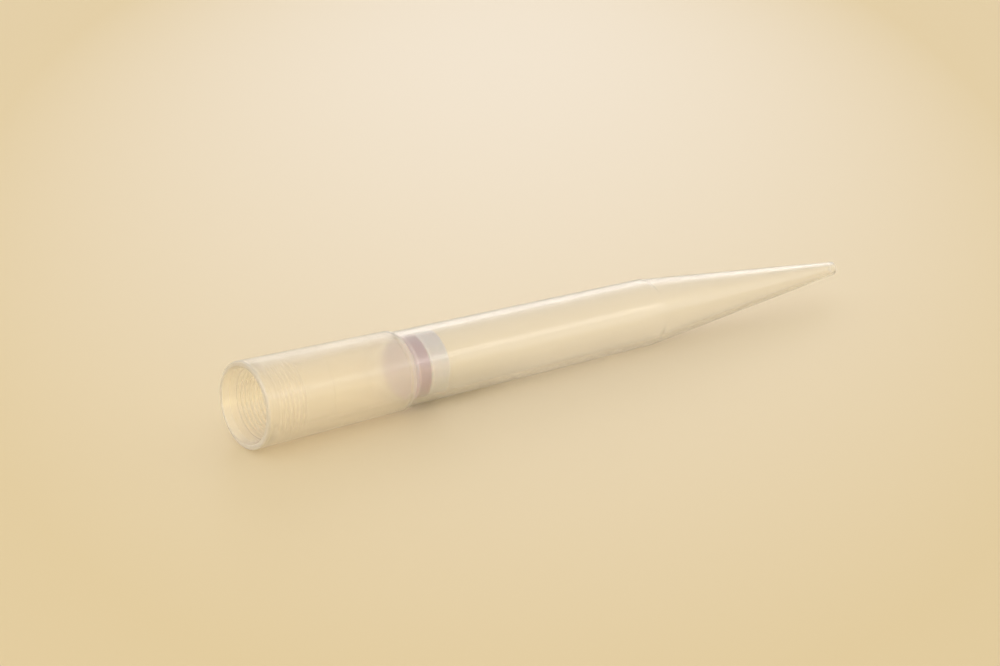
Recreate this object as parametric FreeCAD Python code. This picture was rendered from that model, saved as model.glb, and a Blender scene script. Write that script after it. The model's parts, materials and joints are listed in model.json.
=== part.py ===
"""Filter tip for an air-displacement pipette, 1000 microlitre class, lying on its side. Millimetres.

One thin moulding carries a two-layer filter.  From the mouth to the point the moulding has a
rounded rim, a lead-in cone, a sealing zone with fine rings, a socket that narrows at a small stop
and again at a ledge, the filter's seat, the liquid chamber, a shoulder and a long nozzle.  The two
filter layers are sintered plugs pressed into the seat, face to face.

Every turned piece is drawn with its axis along +X and stations measured from the mouth's plane.
The finished tip then leans until the two outermost places of its outside touch the surface.
Frame: +X towards the point, +Z up, Z = 0 the surface it lies on, origin under the middle of it.
"""
import FreeCAD, Part
import math
import os

# Stations and lengths along the axis
TIP_LENGTH = 76.0
NOZZLE_LENGTH = 28.7
COLLAR_LENGTH = 15.92
SOCKET_DEPTH = 7.2
LEAD_IN_DEPTH = 1.35
LEDGE_AT = 15.45
LEDGE_LENGTH = 0.80

# Bore diameters
SOCKET_BORE = 6.36
STOP_BORE = 6.18
LEDGE_BORE = 6.08
SEAT_BORE = 5.92
SHOULDER_BORE = 5.74
ORIFICE_BORE = 0.80

# Wall thicknesses, measured square to the axis
RIM_WALL = 0.45
COLLAR_WALL = 0.73
BODY_WALL = 0.54
SHOULDER_WALL = 0.50
POINT_WALL = 0.35

# Sealing rings: lands of one straight bore, with fine V grooves between them
RING_COUNT = 6
RING_PITCH = 0.45
RING_WIDTH = 0.28
RING_DEPTH = 0.03

# Small forms
LEAD_IN_STEP = 0.08
STOP_STEP = 0.04
COLLAR_STEP = 0.21
LINE_WIDTH = 0.24
LINE_DEPTH = 0.035
RIM_ROUND = 0.18
COLLAR_ROUND = 0.10
POINT_ROUND = 0.08

# Filter
FILTER_SETBACK = 0.35
FRONT_LAYER = 1.50
BACK_LAYER = 2.10
PLUG_GAP = 0.02
PLUG_CHAMFER = 0.10

# Worked out from the sizes above
SHOULDER_AT = TIP_LENGTH - NOZZLE_LENGTH
SEAL_END = LEAD_IN_DEPTH + (RING_COUNT + 0.5) * RING_PITCH
SEAT_AT = LEDGE_AT + LEDGE_LENGTH
MOUTH_RADIUS = SOCKET_BORE / 2 + COLLAR_WALL
BODY_RADIUS = SEAT_BORE / 2 + BODY_WALL
COLLAR_END_RADIUS = BODY_RADIUS + COLLAR_STEP
SHOULDER_RADIUS = SHOULDER_BORE / 2 + SHOULDER_WALL
POINT_RADIUS = ORIFICE_BORE / 2 + POINT_WALL
FILTER_AT = SEAT_AT + FILTER_SETBACK

AXIS = FreeCAD.Vector(1, 0, 0)
ORIGIN = FreeCAD.Vector(0, 0, 0)
SHARP = 0.0


def bore_stations():
    """(station, radius) down the bore, from the end of the lead-in to the orifice."""
    return [
        (LEAD_IN_DEPTH, SOCKET_BORE / 2),
        (SEAL_END, SOCKET_BORE / 2),
        (SOCKET_DEPTH, STOP_BORE / 2),
        (SOCKET_DEPTH + STOP_STEP, STOP_BORE / 2 - STOP_STEP),
        (LEDGE_AT, LEDGE_BORE / 2),
        (SEAT_AT, SEAT_BORE / 2),
        (SHOULDER_AT, SHOULDER_BORE / 2),
        (TIP_LENGTH, ORIFICE_BORE / 2),
    ]


def radius_on(stations, at):
    """Radius at one station of a list of (station, radius), on the straight run that holds it."""
    for (s1, r1), (s2, r2) in zip(stations, stations[1:]):
        if s1 <= at <= s2:
            return r1 + (r2 - r1) * (at - s1) / (s2 - s1)
    raise ValueError("station %.2f is outside the bore" % at)


def point_at(station, radius):
    """Point of the half outline, above the axis."""
    return FreeCAD.Vector(station, 0, radius)


def sealing_rings():
    """Corners of the grooves cut in the socket's wall, next to the lead-in."""
    corners = []
    for ring in range(1, RING_COUNT + 1):
        middle = LEAD_IN_DEPTH + ring * RING_PITCH
        for offset, depth in ((-RING_WIDTH / 2, 0.0), (0.0, RING_DEPTH), (RING_WIDTH / 2, 0.0)):
            corners.append((middle + offset, SOCKET_BORE / 2 + depth, SHARP))
    return corners


def inside_corners():
    """(station, radius, rounding) down the inside, from the rim to the orifice."""
    bore = [(station, radius, SHARP) for station, radius in bore_stations()]
    rim = (0.0, MOUTH_RADIUS - RIM_WALL, RIM_ROUND / 2)
    lead_in_end = (LEAD_IN_DEPTH, SOCKET_BORE / 2 + LEAD_IN_STEP, SHARP)
    return [rim, lead_in_end, bore[0]] + sealing_rings() + bore[1:]


def outside_corners():
    """(station, radius, rounding) down the outside, from the rim to the point."""
    line_start = SHOULDER_AT - LINE_WIDTH / 2
    line_end = SHOULDER_AT + LINE_WIDTH / 2
    body = [(COLLAR_LENGTH, BODY_RADIUS), (SHOULDER_AT, SHOULDER_RADIUS), (TIP_LENGTH, POINT_RADIUS)]
    return [
        (0.0, MOUTH_RADIUS, RIM_ROUND),
        (COLLAR_LENGTH, COLLAR_END_RADIUS, COLLAR_ROUND),
        (COLLAR_LENGTH, BODY_RADIUS, SHARP),
        (line_start, radius_on(body, line_start), SHARP),
        (SHOULDER_AT, SHOULDER_RADIUS - LINE_DEPTH, SHARP),
        (line_end, radius_on(body, line_end), SHARP),
        (TIP_LENGTH, POINT_RADIUS, POINT_ROUND),
    ]


def rounded_corner(before, corner, after, rounding):
    """Arc of one radius that meets the two straight runs beside a corner."""
    to_before = (before - corner).normalize()
    to_after = (after - corner).normalize()
    half = to_before.getAngle(to_after) / 2
    reach = rounding / math.tan(half)
    inward = (to_before + to_after).normalize() * (rounding / math.sin(half) - rounding)
    return Part.Arc(corner + to_before * reach, corner + inward, corner + to_after * reach).toShape()


def turned(corners):
    """Solid of revolution about the axis of a closed outline of (station, radius, rounding)."""
    points = [point_at(station, radius) for station, radius, _ in corners]
    arcs = []
    for i, (_, _, rounding) in enumerate(corners):
        after = points[(i + 1) % len(points)]
        arcs.append(rounded_corner(points[i - 1], points[i], after, rounding) if rounding else None)
    starts = [arc.Vertexes[-1].Point if arc else point for arc, point in zip(arcs, points)]
    ends = [arc.Vertexes[0].Point if arc else point for arc, point in zip(arcs, points)]
    edges = []
    for i, arc in enumerate(arcs):
        if arc:
            edges.append(arc)
        edges.append(Part.makeLine(starts[i], ends[(i + 1) % len(points)]))
    return Part.Face(Part.Wire(edges)).revolve(ORIGIN, AXIS, 360)


def tip_body():
    """The moulding: its outside from rim to point and its inside back to the rim."""
    return turned(outside_corners() + inside_corners()[::-1])


def filter_plug(start, length):
    """A plug that fills the bore from one station, a hair clear of the wall, with eased edges."""
    end = start + length
    front = radius_on(bore_stations(), start) - PLUG_GAP
    back = radius_on(bore_stations(), end) - PLUG_GAP
    return turned([
        (start, 0.0, SHARP),
        (start, front - PLUG_CHAMFER, SHARP),
        (start + PLUG_CHAMFER, front, SHARP),
        (end - PLUG_CHAMFER, back, SHARP),
        (end, back - PLUG_CHAMFER, SHARP),
        (end, 0.0, SHARP),
    ])


def resting_lean(balance):
    """Angle, in degrees, at which the outside touches a plane on both sides of its balance."""
    outline = [(station, radius) for station, radius, _ in outside_corners()]
    spans = [(a, b) for a in outline for b in outline if a[0] <= balance < b[0]]
    (s1, r1), (s2, r2) = max(spans, key=lambda span: radius_on(span, balance))
    return math.degrees(math.atan2(r1 - r2, s2 - s1))


def laid_down(pieces):
    """The pieces leaned together about Y, then moved so that the lowest rests on Z = 0."""
    body = pieces["tip_body"]
    lean = resting_lean(body.CenterOfMass.x)
    for shape in pieces.values():
        shape.rotate(ORIGIN, FreeCAD.Vector(0, 1, 0), lean)
    box = body.optimalBoundingBox()
    for shape in pieces.values():
        shape.translate(FreeCAD.Vector(-box.Center.x, 0, -box.ZMin))
    return pieces


def build():
    """Every piece of the tip, by node name."""
    return laid_down({
        "tip_body": tip_body(),
        "filter_front_layer": filter_plug(FILTER_AT, FRONT_LAYER),
        "filter_back_layer": filter_plug(FILTER_AT + FRONT_LAYER, BACK_LAYER),
    })


if __name__ == "__main__":
    os.makedirs("parts", exist_ok=True)
    for name, shape in build().items():
        shape.exportStep("parts/%s.step" % name)
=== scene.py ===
"""Looks of a filter pipette tip that lies on its side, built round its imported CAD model.

The moulding is turned again, finer, from the outline that the CAD model has, and gets a clear,
slightly hazy polypropylene. The two filter layers are turned from theirs and get the grain of
sintered beads. Metres, in the CAD model's own frame: +X towards the point, +Z up, the surface
that the tip lies on at Z = 0.
"""

import json
import math
from collections import Counter

import bmesh
import bpy
from bpy.props import FloatProperty, FloatVectorProperty, IntProperty, PointerProperty
from mathutils import Matrix, Vector, noise


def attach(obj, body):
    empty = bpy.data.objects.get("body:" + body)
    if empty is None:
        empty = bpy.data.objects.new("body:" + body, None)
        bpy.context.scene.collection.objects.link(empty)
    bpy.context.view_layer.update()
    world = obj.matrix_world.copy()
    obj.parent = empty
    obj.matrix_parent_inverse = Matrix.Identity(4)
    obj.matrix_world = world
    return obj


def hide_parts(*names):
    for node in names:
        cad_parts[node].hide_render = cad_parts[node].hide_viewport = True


bl_info = {
    "name": "Filter pipette tip",
    "version": (1, 0, 0),
    "blender": (4, 5, 0),
    "location": "3D View > Sidebar > Pipette tip",
    "description": "Builds the moulding, the filter and the stage of a pipette tip",
    "category": "Add Mesh",
}

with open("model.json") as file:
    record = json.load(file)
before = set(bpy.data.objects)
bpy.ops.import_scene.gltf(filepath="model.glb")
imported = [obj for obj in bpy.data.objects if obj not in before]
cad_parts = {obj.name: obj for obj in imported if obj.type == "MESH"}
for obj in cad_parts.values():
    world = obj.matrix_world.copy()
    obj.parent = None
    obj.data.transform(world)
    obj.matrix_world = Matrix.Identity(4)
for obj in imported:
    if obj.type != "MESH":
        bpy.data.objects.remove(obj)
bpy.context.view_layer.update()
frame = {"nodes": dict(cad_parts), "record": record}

MILLIMETRE = 0.001

# How an outline is read from the CAD model
WELD_DISTANCE = 0.0001 * MILLIMETRE
SEAM_WIDTH_DEGREES = 0.06

# How an outline is turned. A crease is the least turn between two faces that shades as a corner.
ON_AXIS = 1e-9
CORNER_SETBACK = 0.04 * MILLIMETRE
LONG_RUN = 4 * CORNER_SETBACK
CREASE = math.radians(38)

# Zones of the moulding, in the order of its materials: name, then haze and roughness as multiples
# of the plain wall's. In a thick wall the plastic's own tint goes to a higher power.
ZONES = (
    ("polypropylene_body", 1.0, 1.0),
    ("polypropylene_collar", 2.3, 1.3),
    ("polypropylene_edges", 3.4, 1.3),
    # The ring flanks also take a darker colour there, as painted shade
    ("polypropylene_grooves_painted_shade", 2.6, 1.3),
)
BODY, COLLAR, EDGES, GROOVES = range(len(ZONES))
THICK_WALL_POWER = 2.3
EDGE_MARGIN = 0.01 * MILLIMETRE

# Moulded polypropylene: size of a flow mark, the roughness across it in shares of the mean, and the
# share of a lamp's light that crosses each face
FLOW_MARK = 2.4 * MILLIMETRE
FLOW_ROUGHNESS = (0.9, 1.12)
LAMP_SHARE = 0.99

# Sintered beads: materials of a layer in order (its side, then a paler copy on its flat faces as
# painted light), shade of a bead's middle and of its edge, then lengths in bead sizes
SIDE, PAINTED_LIT_FACE = range(2)
BEAD_SHADES = (0.84, 1.12)
BEAD_BUMP = 0.2
BEAD_SINK = 0.3
BEAD_REACH = 0.8
BEAD_MESH_STEP = 0.75

# Floor and room. The floor is straw, with a long cream pool behind the tip that is painted light.
FLOOR_REACH = 2.0
FLOOR_DROP = 0.02 * MILLIMETRE
LIT_POOL_PLACE = (0.116, 0.147, 0)
LIT_POOL_TURN = math.radians(50)
LIT_POOL_REACH = (0.258, 0.08, 1)
ROOM_COLOUR = (0.93, 0.865, 0.747)
ROOM_STRENGTH = 0.86

# Lamps, which all face the tip: name, place, width, height, watts, colour
LAMPS = (
    ("key_softbox", (0.346, -0.411, 0.267), 0.24, 0.12, 0.14, (0.99, 0.98, 1)),
    ("back_softbox", (0.52, 0.61, 0.33), 0.9, 0.35, 0.77, (1, 0.91, 0.85)),
    ("low_fill", (-0.6, -4.8, 0.60), 6.0, 1.2, 59.4, (1, 0.82, 0.40)),
    ("mouth_fill", (-0.6, -0.12, 0.3), 0.3, 0.3, 1.15, (0.95, 0.93, 1)),
)


# The tip's own axis


def mount(name):
    """The record's mount of one name."""
    return next(m for m in frame["record"]["mounts"] if m["name"] == name)


def axis_frame():
    """Matrix from the tip's axis frame to the row frame: X from the mouth's middle to the point."""
    socket = mount("pipette_socket")
    along = -Vector(socket["axis"]).normalized()
    side = Vector((0, 1, 0))
    up = along.cross(side)
    centre = Vector(socket["pos_m"])
    mouth = min((v.co - centre).dot(along) for v in frame["nodes"]["tip_body"].data.vertices)
    origin = centre + along * mouth
    turn = Matrix((along, side, up)).transposed()
    return Matrix.Translation(origin) @ turn.to_4x4()


# Outlines and turned pieces


def cut_outline(node):
    """(station, radius) points down the seam of a turned CAD node, in the order they join."""
    cut = bmesh.new()
    cut.from_mesh(frame["nodes"][node].data)
    cut.transform(axis_frame().inverted())
    bmesh.ops.remove_doubles(cut, verts=cut.verts, dist=WELD_DISTANCE)
    turns = {v: math.degrees(math.atan2(v.co.y, v.co.z)) for v in cut.verts}
    seam = Counter(round(turn, 1) for turn in turns.values()).most_common(1)[0][0]
    on_seam = {v for v, turn in turns.items() if abs(turn - seam) < SEAM_WIDTH_DEGREES}
    beside = {
        v: [e.other_vert(v) for e in v.link_edges if e.other_vert(v) in on_seam] for v in on_seam
    }
    ends = [v for v in on_seam if len(beside[v]) == 1]
    path = [min(ends or on_seam, key=lambda v: (v.co.x, math.hypot(v.co.y, v.co.z)))]
    while onward := [v for v in beside[path[-1]] if v not in path]:
        path.append(min(onward, key=lambda v: (v.co - path[-1].co).length))
    if len(path) != len(on_seam):
        raise RuntimeError(f"the outline of {node} has {len(on_seam)} points and {len(path)} join")
    outline = [(v.co.x, math.hypot(v.co.y, v.co.z)) for v in path]
    cut.free()
    return outline


def with_station(outline, station):
    """The closed outline with a point added wherever it crosses one station."""
    crossed = []
    for (s1, r1), (s2, r2) in zip(outline, outline[1:] + outline[:1]):
        crossed.append((s1, r1))
        if min(s1, s2) < station < max(s1, s2):
            crossed.append((station, r1 + (r2 - r1) * (station - s1) / (s2 - s1)))
    return crossed


def with_held_corners(outline):
    """The closed outline with a point close to each end of its long runs, so corners stay crisp."""
    held = []
    for (s1, r1), (s2, r2) in zip(outline, outline[1:] + outline[:1]):
        held.append((s1, r1))
        length = math.hypot(s2 - s1, r2 - r1)
        if length > LONG_RUN:
            for share in (CORNER_SETBACK / length, 1 - CORNER_SETBACK / length):
                held.append((s1 + (s2 - s1) * share, r1 + (r2 - r1) * share))
    return held


def finely_divided(outline, step):
    """The open outline with points no further apart than one step."""
    points = [outline[0]]
    for (s1, r1), (s2, r2) in zip(outline, outline[1:]):
        count = max(1, math.ceil(math.hypot(s2 - s1, r2 - r1) / step))
        for k in range(1, count + 1):
            points.append((s1 + (s2 - s1) * k / count, r1 + (r2 - r1) * k / count))
    return points


def turned_piece(name, outline, segments, closed):
    """A mesh object turned about the tip's axis from an outline, in place in the row frame."""
    shape = bmesh.new()
    rings = []
    for station, radius in outline:
        if radius < ON_AXIS:
            rings.append([shape.verts.new((station, 0, 0))] * segments)
            continue
        ring = []
        for k in range(segments):
            turn = 2 * math.pi * k / segments
            y, z = radius * math.sin(turn), radius * math.cos(turn)
            ring.append(shape.verts.new((station, y, z)))
        rings.append(ring)
    pairs = list(zip(rings, rings[1:])) + ([(rings[-1], rings[0])] if closed else [])
    for near, far in pairs:
        for k in range(segments):
            corners = [near[k], far[k], far[(k + 1) % segments], near[(k + 1) % segments]]
            shape.faces.new(list(dict.fromkeys(corners)))
    bmesh.ops.recalc_face_normals(shape, faces=shape.faces)
    shape.transform(axis_frame())
    mesh = bpy.data.meshes.new(name)
    shape.to_mesh(mesh)
    shape.free()
    mesh.shade_smooth()
    mesh.set_sharp_from_angle(angle=CREASE)
    piece = bpy.data.objects.new(name, mesh)
    bpy.context.scene.collection.objects.link(piece)
    return piece


def sink_between_beads(layer, bead):
    """Moves each point inwards, further the further it is from the middle of its bead."""
    places = [v.co.copy() for v in layer.data.vertices]
    normals = [v.normal.copy() for v in layer.data.vertices]
    for vertex, place, normal in zip(layer.data.vertices, places, normals):
        distance = noise.voronoi(place / bead)[0][0]
        vertex.co = place - normal * bead * BEAD_SINK * min(distance, BEAD_REACH) ** 2
    layer.data.update()


# Materials


def new_material(name):
    """A material with one Principled shader, its node tree, and the shader."""
    material = bpy.data.materials.new(name)
    material.use_nodes = True
    return material, material.node_tree, material.node_tree.nodes["Principled BSDF"]


def grain_texture(tree, kind, size):
    """A 3D texture of one grain size, in the tip's own place."""
    texture = tree.nodes.new(kind)
    texture.inputs["Scale"].default_value = 1 / size
    place = tree.nodes.new("ShaderNodeTexCoord")
    tree.links.new(place.outputs["Object"], texture.inputs["Vector"])
    return texture


def polypropylene(name, tint, haze, roughness):
    """Natural polypropylene: clear, a little milky, with the faint flow marks of moulding."""
    material, tree, shader = new_material(name)
    shader.inputs["Base Color"].default_value = (*tint, 1)
    shader.inputs["IOR"].default_value = 1.49
    shader.inputs["Transmission Weight"].default_value = 1 - haze
    flow = grain_texture(tree, "ShaderNodeTexNoise", FLOW_MARK)
    flow.inputs["Detail"].default_value = 3
    spread = tree.nodes.new("ShaderNodeMapRange")
    spread.inputs["To Min"].default_value = FLOW_ROUGHNESS[0] * roughness
    spread.inputs["To Max"].default_value = FLOW_ROUGHNESS[1] * roughness
    tree.links.new(flow.outputs["Fac"], spread.inputs["Value"])
    tree.links.new(spread.outputs["Result"], shader.inputs["Roughness"])
    let_lamps_through(tree, shader)
    return material


def let_lamps_through(tree, shader):
    """Lets most of each lamp's light cross the shader's face in a straight line."""
    passing = tree.nodes.new("ShaderNodeBsdfTransparent")
    passing.inputs["Color"].default_value = (LAMP_SHARE, LAMP_SHARE, LAMP_SHARE, 1)
    path = tree.nodes.new("ShaderNodeLightPath")
    either = tree.nodes.new("ShaderNodeMixShader")
    tree.links.new(path.outputs["Is Shadow Ray"], either.inputs["Fac"])
    tree.links.new(shader.outputs["BSDF"], either.inputs[1])
    tree.links.new(passing.outputs["BSDF"], either.inputs[2])
    tree.links.new(either.outputs["Shader"], tree.nodes["Material Output"].inputs["Surface"])


def sintered_beads(name, colour, bead):
    """Fused polyethylene beads: a little translucent, each shaded, with a smooth pressed skin."""
    material, tree, shader = new_material(name)
    beads = grain_texture(tree, "ShaderNodeTexVoronoi", bead)
    shades = tree.nodes.new("ShaderNodeValToRGB")
    for stop, shade in zip(shades.color_ramp.elements, BEAD_SHADES):
        stop.color = (*[min(1, shade * c) for c in colour], 1)
    tree.links.new(beads.outputs["Distance"], shades.inputs["Fac"])
    tree.links.new(shades.outputs["Color"], shader.inputs["Base Color"])
    shader.inputs["Roughness"].default_value = 0.75
    shader.inputs["Coat Weight"].default_value = 1
    shader.inputs["Coat Roughness"].default_value = 0.3
    shader.inputs["Coat IOR"].default_value = 1.8
    shader.inputs["Subsurface Weight"].default_value = 0.25
    shader.inputs["Subsurface Scale"].default_value = 0.4 * MILLIMETRE
    bump = tree.nodes.new("ShaderNodeBump")
    bump.invert = True
    bump.inputs["Strength"].default_value = 0.5
    bump.inputs["Distance"].default_value = BEAD_BUMP * bead
    tree.links.new(beads.outputs["Distance"], bump.inputs["Height"])
    tree.links.new(bump.outputs["Normal"], shader.inputs["Normal"])
    return material


def pale_floor(colour, outer_colour):
    """Matt floor that turns slowly from a painted pool of light behind the tip to its own colour
    further out.
    """
    material, tree, shader = new_material("pale_floor")
    shader.inputs["Roughness"].default_value = 0.5
    shader.inputs["IOR"].default_value = 1.5
    place = tree.nodes.new("ShaderNodeTexCoord")
    # Painted pool of light: its colour blends into the floor's own by the squared distance from its
    # middle
    painted_pool = tree.nodes.new("ShaderNodeMapping")
    painted_pool.vector_type = "TEXTURE"
    painted_pool.inputs["Location"].default_value = LIT_POOL_PLACE
    painted_pool.inputs["Rotation"].default_value = (0, 0, LIT_POOL_TURN)
    painted_pool.inputs["Scale"].default_value = LIT_POOL_REACH
    squared_distance = tree.nodes.new("ShaderNodeVectorMath")
    squared_distance.operation = "DOT_PRODUCT"
    blend = tree.nodes.new("ShaderNodeMix")
    blend.data_type = "RGBA"
    first_colour, second_colour, blended = blend.inputs[6], blend.inputs[7], blend.outputs[2]
    first_colour.default_value = (*colour, 1)
    second_colour.default_value = (*outer_colour, 1)
    tree.links.new(place.outputs["Object"], painted_pool.inputs["Vector"])
    tree.links.new(painted_pool.outputs["Vector"], squared_distance.inputs[0])
    tree.links.new(painted_pool.outputs["Vector"], squared_distance.inputs[1])
    tree.links.new(squared_distance.outputs["Value"], blend.inputs["Factor"])
    tree.links.new(blended, shader.inputs["Base Color"])
    return material


# Settings that a user changes


class TipBodySettings(bpy.types.PropertyGroup):
    segments: IntProperty(
        name="Segments", description="Flats round the moulding", default=256, min=32
    )
    tint: FloatVectorProperty(
        name="Tint", description="Colour of the plastic", subtype="COLOR",
        default=(0.98, 0.96, 0.92),
    )
    haze: FloatProperty(
        name="Haze", description="Share of light that the plastic scatters", subtype="FACTOR",
        default=0.11, min=0, max=1,
    )
    edge: FloatProperty(
        name="Edge length", description="Length of the milkier rim and of the collar's milkier end",
        subtype="DISTANCE", unit="LENGTH", default=0.4 * MILLIMETRE,
    )
    # Painted shade: a darker colour on the flanks of the sealing rings for the shade of the ring
    # lines
    groove_painted_shade: FloatVectorProperty(
        name="Groove tint", description="Colour of the flanks of the sealing rings",
        subtype="COLOR", default=(0.88, 0.84, 0.76),
    )
    groove_slope: FloatProperty(
        name="Groove slope", description="Slope from which a face of the collar counts as a flank",
        subtype="ANGLE", unit="ROTATION", default=math.radians(10),
    )
    polish: FloatProperty(
        name="Roughness", description="Mean roughness of the moulded faces", subtype="FACTOR",
        default=0.16, min=0, max=1,
    )


class FilterSettings(bpy.types.PropertyGroup):
    segments: IntProperty(
        name="Segments", description="Flats round each layer", default=192, min=32
    )
    bead: FloatProperty(
        name="Bead size", description="Size of one sintered bead", subtype="DISTANCE",
        unit="LENGTH", default=0.16 * MILLIMETRE,
    )
    front_colour: FloatVectorProperty(
        name="Front layer", description="Colour of the layer next to the socket",
        subtype="COLOR", default=(0.40, 0.28, 0.42),
    )
    back_colour: FloatVectorProperty(
        name="Back layer", description="Colour of the layer next to the chamber",
        subtype="COLOR", default=(0.62, 0.62, 0.72),
    )
    # Painted light: the flat faces are a paler copy of the layer's colour, for more light on them
    face_painted_light: FloatProperty(
        name="Open face", description="How much paler a layer's flat faces are than its side",
        subtype="FACTOR", default=0.19, min=0, max=1,
    )


class StageSettings(bpy.types.PropertyGroup):
    # Painted light: the colour of the painted pool of light behind the tip
    painted_pool_colour: FloatVectorProperty(
        name="Floor", description="Colour of the floor behind the tip", subtype="COLOR",
        default=(0.895, 0.83, 0.74),
    )
    floor_edge_colour: FloatVectorProperty(
        name="Floor, further out", description="Colour that the floor turns to", subtype="COLOR",
        default=(0.75, 0.62, 0.37),
    )
    camera_place: FloatVectorProperty(
        name="Camera", description="Place of the camera", subtype="TRANSLATION", unit="LENGTH",
        default=(-0.12364, -0.13427, 0.06248),
    )
    camera_aim: FloatVectorProperty(
        name="Aim", description="Point in the middle of the view", subtype="TRANSLATION",
        unit="LENGTH", default=(-0.00367, 0.00670, 0.00200),
    )
    camera_roll: FloatProperty(
        name="Roll", description="Turn of the camera about its view", subtype="ANGLE",
        unit="ROTATION", default=0.0201,
    )
    focal_length: FloatProperty(
        name="Focal length", description="Lens, in millimetres on a 36 mm sensor", default=70.82
    )


# Operators


class MakeTipBody(bpy.types.Operator):
    """Turn the moulding from the CAD outline and give it its plastic"""

    bl_idname = "pipette_tip.make_body"
    bl_label = "Make the moulding"

    def execute(self, context):
        settings = context.scene.tip_body_settings
        to_axis = axis_frame().inverted()
        collar_end = (to_axis @ Vector(mount("rack_seat")["pos_m"])).x
        outline = with_station(cut_outline("tip_body"), collar_end - settings.edge)
        outline = with_held_corners(outline)
        body = turned_piece("moulded_tip", outline, settings.segments, closed=True)
        thick_tint = [c**THICK_WALL_POWER for c in settings.tint]
        # The ring flanks take the painted-shade colour in place of the plastic's tint
        tints_and_groove_shade = (settings.tint, thick_tint, thick_tint, settings.groove_painted_shade)
        for (name, haze, roughness), tint in zip(ZONES, tints_and_groove_shade):
            plastic = polypropylene(name, tint, haze * settings.haze, roughness * settings.polish)
            body.data.materials.append(plastic)
        for face in body.data.polygons:
            face.material_index = self.zone_of(face, to_axis, collar_end, settings)
        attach(body, "root")
        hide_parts("tip_body")
        return {"FINISHED"}

    def zone_of(self, face, to_axis, collar_end, settings):
        """Zone of the moulding that a face is in, as the number of its material."""
        station = (to_axis @ face.center).x
        in_rim = station < settings.edge
        at_collar_end = collar_end - settings.edge < station < collar_end + EDGE_MARGIN
        if in_rim or at_collar_end:
            return EDGES
        if station >= collar_end:
            return BODY
        slope = abs((to_axis.to_3x3() @ face.normal).x)
        # Steep collar faces, the ring flanks, get the painted shade
        return GROOVES if slope > math.sin(settings.groove_slope) else COLLAR


class MakeFilter(bpy.types.Operator):
    """Turn both filter layers and give them the grain of sintered beads"""

    bl_idname = "pipette_tip.make_filter"
    bl_label = "Make the filter"

    def execute(self, context):
        settings = context.scene.filter_settings
        self.make_layer("front", settings.front_colour, "filter_lavender", settings)
        self.make_layer("back", settings.back_colour, "filter_white", settings)
        return {"FINISHED"}

    def make_layer(self, place, colour, slot, settings):
        """One layer, with its beads in the mesh and paler materials on its flat faces, as painted
        light.
        """
        node = f"filter_{place}_layer"
        bead = settings.bead
        side = cut_outline(node)
        start, end = side[0][0], side[-1][0]
        outline = finely_divided([(start, 0), *side, (end, 0)], BEAD_MESH_STEP * bead)
        layer = turned_piece(f"filter_{place}_beads", outline, settings.segments, closed=False)
        sink_between_beads(layer, bead)
        # Painted light: a paler copy of the layer's colour for its flat faces
        painted_lit_colour = [c + settings.face_painted_light * (1 - c) for c in colour]
        layer.data.materials.append(sintered_beads(f"sintered_side_{place}", colour, bead))
        layer.data.materials.append(sintered_beads(f"sintered_painted_lit_face_{place}", painted_lit_colour, bead))
        to_axis = axis_frame().inverted()
        # The faces near either end take the painted-light copy
        for face in layer.data.polygons:
            station = (to_axis @ face.center).x
            face.material_index = SIDE if start + bead < station < end - bead else PAINTED_LIT_FACE
        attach(layer, "root")
        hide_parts(node)


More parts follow.
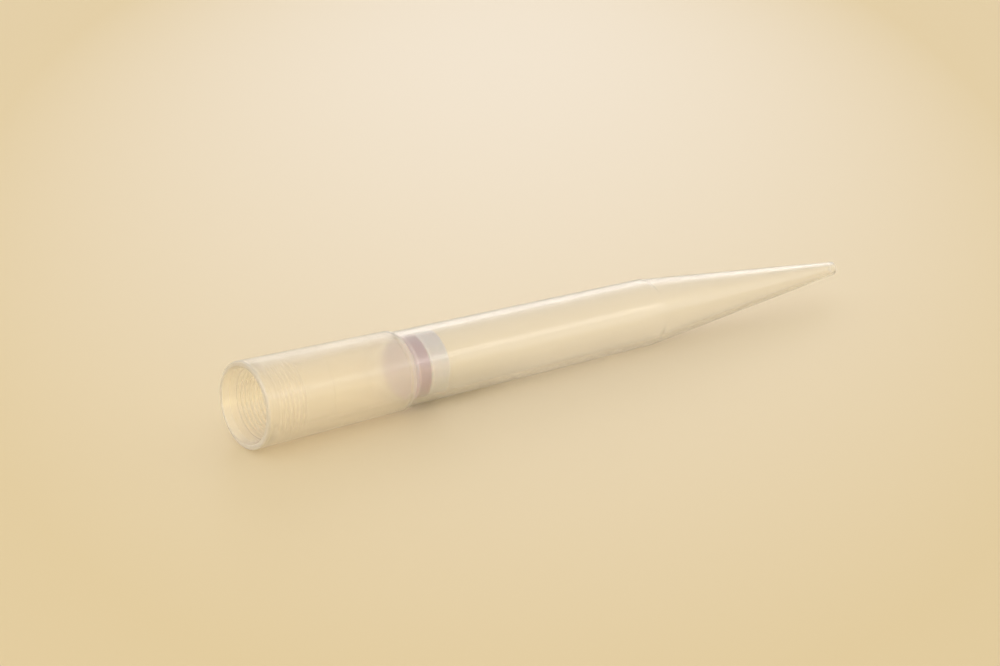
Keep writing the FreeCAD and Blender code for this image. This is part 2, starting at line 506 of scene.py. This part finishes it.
class MakeStage(bpy.types.Operator):
    """Make the floor, the lamps, the world and the camera"""

    bl_idname = "pipette_tip.make_stage"
    bl_label = "Make the stage"

    def execute(self, context):
        scene = context.scene
        settings = scene.stage_settings
        self.make_floor(scene, settings)
        self.make_room(scene)
        for lamp in LAMPS:
            self.make_lamp(scene, *lamp)
        self.make_camera(scene, settings)
        scene.view_settings.view_transform = "Standard"
        return {"FINISHED"}

    def make_floor(self, scene, settings):
        """A square floor, a hair below the tip."""
        mesh = bpy.data.meshes.new("floor")
        reach = FLOOR_REACH
        corners = [(-reach, -reach), (reach, -reach), (reach, reach), (-reach, reach)]
        mesh.from_pydata([(x, y, -FLOOR_DROP) for x, y in corners], [], [(0, 1, 2, 3)])
        mesh.materials.append(pale_floor(settings.painted_pool_colour, settings.floor_edge_colour))
        floor = bpy.data.objects.new("floor", mesh)
        scene.collection.objects.link(floor)

    def make_room(self, scene):
        """The pale light that comes from all round."""
        world = bpy.data.worlds.new("pale_room")
        world.use_nodes = True
        room = world.node_tree.nodes["Background"]
        room.inputs["Color"].default_value = (*ROOM_COLOUR, 1)
        room.inputs["Strength"].default_value = ROOM_STRENGTH
        scene.world = world

    def make_lamp(self, scene, name, place, width, height, watts, colour):
        """A rectangular lamp that faces the middle of the tip."""
        lamp = bpy.data.lights.new(name, "AREA")
        lamp.shape = "RECTANGLE"
        lamp.size, lamp.size_y = width, height
        lamp.energy = watts
        lamp.color = colour
        holder = bpy.data.objects.new(name, lamp)
        holder.location = place
        holder.rotation_euler = (-Vector(place)).to_track_quat("-Z", "Y").to_euler()
        scene.collection.objects.link(holder)

    def make_camera(self, scene, settings):
        """The camera, rolled about its own view."""
        lens = bpy.data.cameras.new("camera")
        lens.sensor_width = 36
        lens.lens = settings.focal_length
        lens.clip_start = 5 * MILLIMETRE
        camera = bpy.data.objects.new("camera", lens)
        place, aim = Vector(settings.camera_place), Vector(settings.camera_aim)
        facing = (aim - place).to_track_quat("-Z", "Y").to_matrix()
        facing = facing @ Matrix.Rotation(settings.camera_roll, 3, "Z")
        camera.matrix_world = Matrix.Translation(place) @ facing.to_4x4()
        scene.collection.objects.link(camera)
        scene.camera = camera


class PipetteTipPanel(bpy.types.Panel):
    """Buttons and sizes for the pipette tip"""

    bl_idname = "VIEW3D_PT_pipette_tip"
    bl_label = "Pipette tip"
    bl_space_type = "VIEW_3D"
    bl_region_type = "UI"
    bl_category = "Pipette tip"

    def draw(self, context):
        scene = context.scene
        for operator, settings in (
            (MakeTipBody, scene.tip_body_settings),
            (MakeFilter, scene.filter_settings),
            (MakeStage, scene.stage_settings),
        ):
            box = self.layout.box()
            for name in settings.__annotations__:
                box.prop(settings, name)
            box.operator(operator.bl_idname)


SETTINGS = {
    "tip_body_settings": TipBodySettings,
    "filter_settings": FilterSettings,
    "stage_settings": StageSettings,
}
CLASSES = (*SETTINGS.values(), MakeTipBody, MakeFilter, MakeStage, PipetteTipPanel)


def register():
    for cls in CLASSES:
        bpy.utils.register_class(cls)
    for name, group in SETTINGS.items():
        setattr(bpy.types.Scene, name, PointerProperty(type=group))


def unregister():
    for name in SETTINGS:
        delattr(bpy.types.Scene, name)
    for cls in reversed(CLASSES):
        bpy.utils.unregister_class(cls)


def main():
    """Builds everything in order."""
    register()
    bpy.ops.pipette_tip.make_body()
    bpy.ops.pipette_tip.make_filter()
    bpy.ops.pipette_tip.make_stage()


if __name__ == "__main__":
    main()
